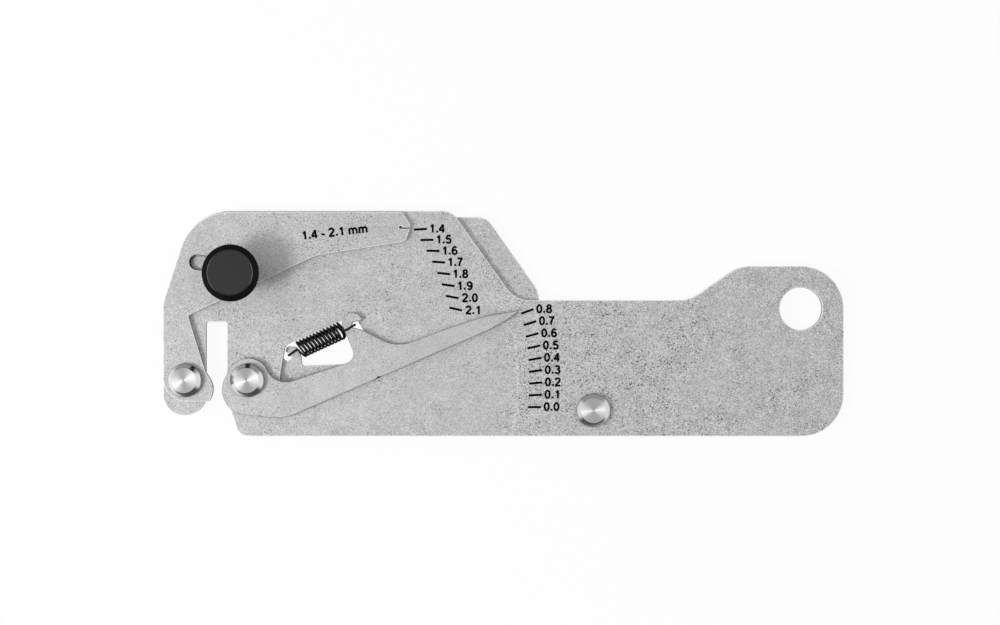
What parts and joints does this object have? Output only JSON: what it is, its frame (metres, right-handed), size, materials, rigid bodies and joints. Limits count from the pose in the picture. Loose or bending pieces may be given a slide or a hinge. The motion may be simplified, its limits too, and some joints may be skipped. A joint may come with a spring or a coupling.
{
  "type": "brake disc wear gauge",
  "caption": "Flat stainless gauge with a disc slot, a clamped limit lever, a sprung pointer lever and a thumb plate.",
  "frame": {"origin": "centre of the overall box in plan, at the height of the rearmost rivet tail", "axes": "+X from the disc slot to the hanging hole, +Y to the head's top edge, +Z out of the face with the scales"},
  "size_m": [0.16, 0.053, 0.0172],
  "materials": {
    "plate_steel": "bead-blasted stainless sheet",
    "turned_steel": "turned bright",
    "black_plastic": "satin",
    "insert_brass": "turned",
    "spring_steel": "dark oiled wire"
  },
  "bodies": {
    "body": {"body_plate": "plate_steel", "limit_rivet": "turned_steel", "pointer_rivet": "turned_steel", "thumb_rivet": "turned_steel", "limit_burr": "turned_steel", "pointer_burr": "turned_steel", "thumb_burr": "turned_steel", "clamp_stud": "turned_steel", "clamp_washer": "turned_steel"},
    "limit": {"limit_lever": "plate_steel"},
    "pointer": {"pointer_lever": "plate_steel"},
    "thumb": {"thumb_plate": "plate_steel"},
    "knob": {"clamp_knob": "black_plastic", "knob_insert": "insert_brass"},
    "spring": {"tension_spring": "spring_steel"},
    "spring_end": {"spring_loop": "spring_steel"}
  },
  "joints": [
    {"name": "limit_set", "type": "hinge", "parent": "body", "child": "limit", "pos_m": [-0.0744, -0.01325, 0.005], "axis": [0, 0, 1], "range_deg": [-19.5, 0]},
    {"name": "thumb_press", "type": "hinge", "parent": "body", "child": "thumb", "pos_m": [0.0211, -0.02035, 0.0018], "axis": [0, 0, 1], "range_deg": [0, 3.3], "stiffness_Nm_per_rad": 0.6},
    {"name": "pointer_swing", "type": "hinge", "parent": "body", "child": "pointer", "pos_m": [-0.0598, -0.01325, 0.005], "axis": [0, 0, 1], "range_deg": [-20, 0]},
    {"name": "knob_turn", "type": "hinge", "parent": "body", "child": "knob", "pos_m": [-0.062, 0.01157, 0.008], "axis": [0, 0, 1], "range_deg": [0, 360]},
    {"name": "spring_turn", "type": "hinge", "parent": "thumb", "child": "spring", "pos_m": [-0.0507, -0.0075, 0.0018], "axis": [0, 0, 1], "range_deg": [-21.6, 0]},
    {"name": "spring_stretch", "type": "slide", "parent": "spring", "child": "spring_end", "axis": [0.9105, 0.4136, 0], "range_m": [0, 0.0022]}
  ],
  "couplings": [
    {"joint": "pointer_swing", "follows": "thumb_press", "ratio": -6},
    {"joint": "spring_turn", "follows": "thumb_press", "ratio": -6.4963},
    {"joint": "spring_stretch", "follows": "thumb_press", "m_per_rad": 0.036306}
  ]
}
